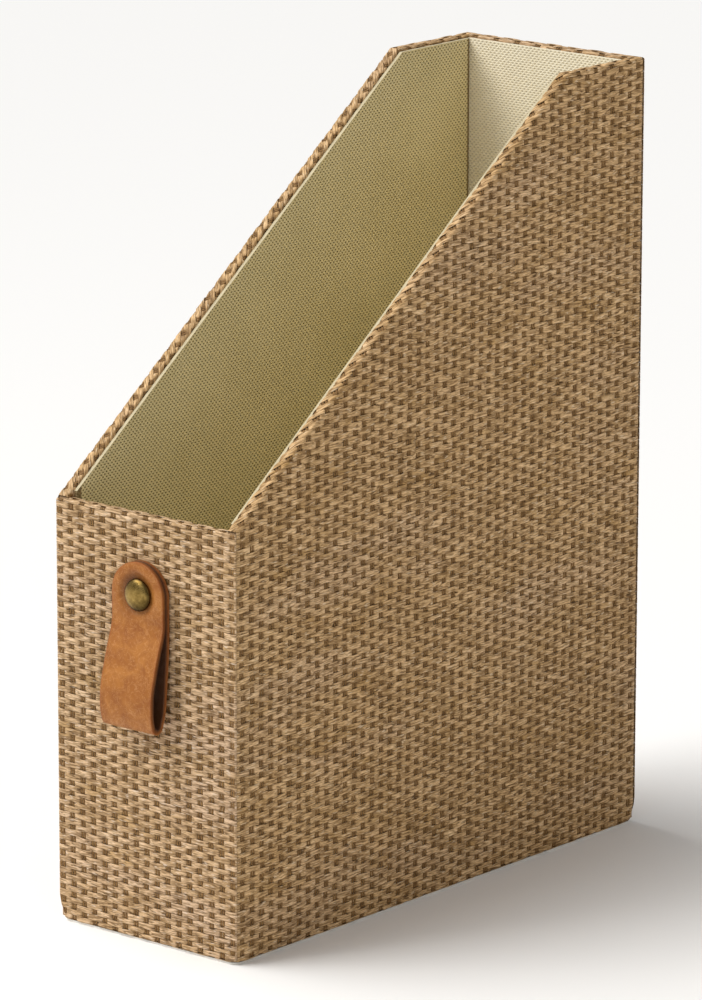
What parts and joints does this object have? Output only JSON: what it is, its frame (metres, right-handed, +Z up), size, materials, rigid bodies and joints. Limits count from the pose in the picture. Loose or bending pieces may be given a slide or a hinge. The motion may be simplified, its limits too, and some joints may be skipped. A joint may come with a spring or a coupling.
{
  "type": "magazine file holder",
  "caption": "Upright open-top file box with sloping sides, woven cord cover, card lining and a riveted leather pull tab on the low front.",
  "frame": {"origin": "centre of the underside, on the surface that the holder stands on", "axes": "+Z up, -Y towards the low front with the pull tab, +X to the right seen from the front"},
  "size_m": [0.092, 0.2626, 0.32],
  "materials": {
    "woven_cord": "matte",
    "greyboard": "matte",
    "kraft_tape": "matte",
    "embossed_card": "matte",
    "base_paper": "matte",
    "tan_leather": "satin",
    "aged_brass": "satin"
  },
  "bodies": {
    "case": {"base_board": "greyboard", "front_board": "greyboard", "back_board": "greyboard", "left_board": "greyboard", "right_board": "greyboard", "front_left_stay": "kraft_tape", "front_right_stay": "kraft_tape", "back_left_stay": "kraft_tape", "back_right_stay": "kraft_tape", "front_cover": "woven_cord", "back_cover": "woven_cord", "left_cover": "woven_cord", "right_cover": "woven_cord", "base_sheet": "base_paper", "base_liner": "embossed_card", "front_liner": "embossed_card", "back_liner": "embossed_card", "left_liner": "embossed_card", "right_liner": "embossed_card", "rivet_cap": "aged_brass", "rivet_post": "aged_brass"},
    "tab_head": {"tab_head": "tan_leather"},
    "tab_loop": {"tab_loop": "tan_leather"}
  },
  "joints": [
    {"name": "tab_swivel", "type": "hinge", "parent": "case", "child": "tab_head", "pos_m": [0, -0.1279, 0.1405], "axis": [0, -1, 0], "continuous": true},
    {"name": "tab_lift", "type": "hinge", "parent": "tab_head", "child": "tab_loop", "pos_m": [0, -0.1279, 0.1295], "axis": [-1, 0, 0], "range_deg": [0, 50]}
  ]
}
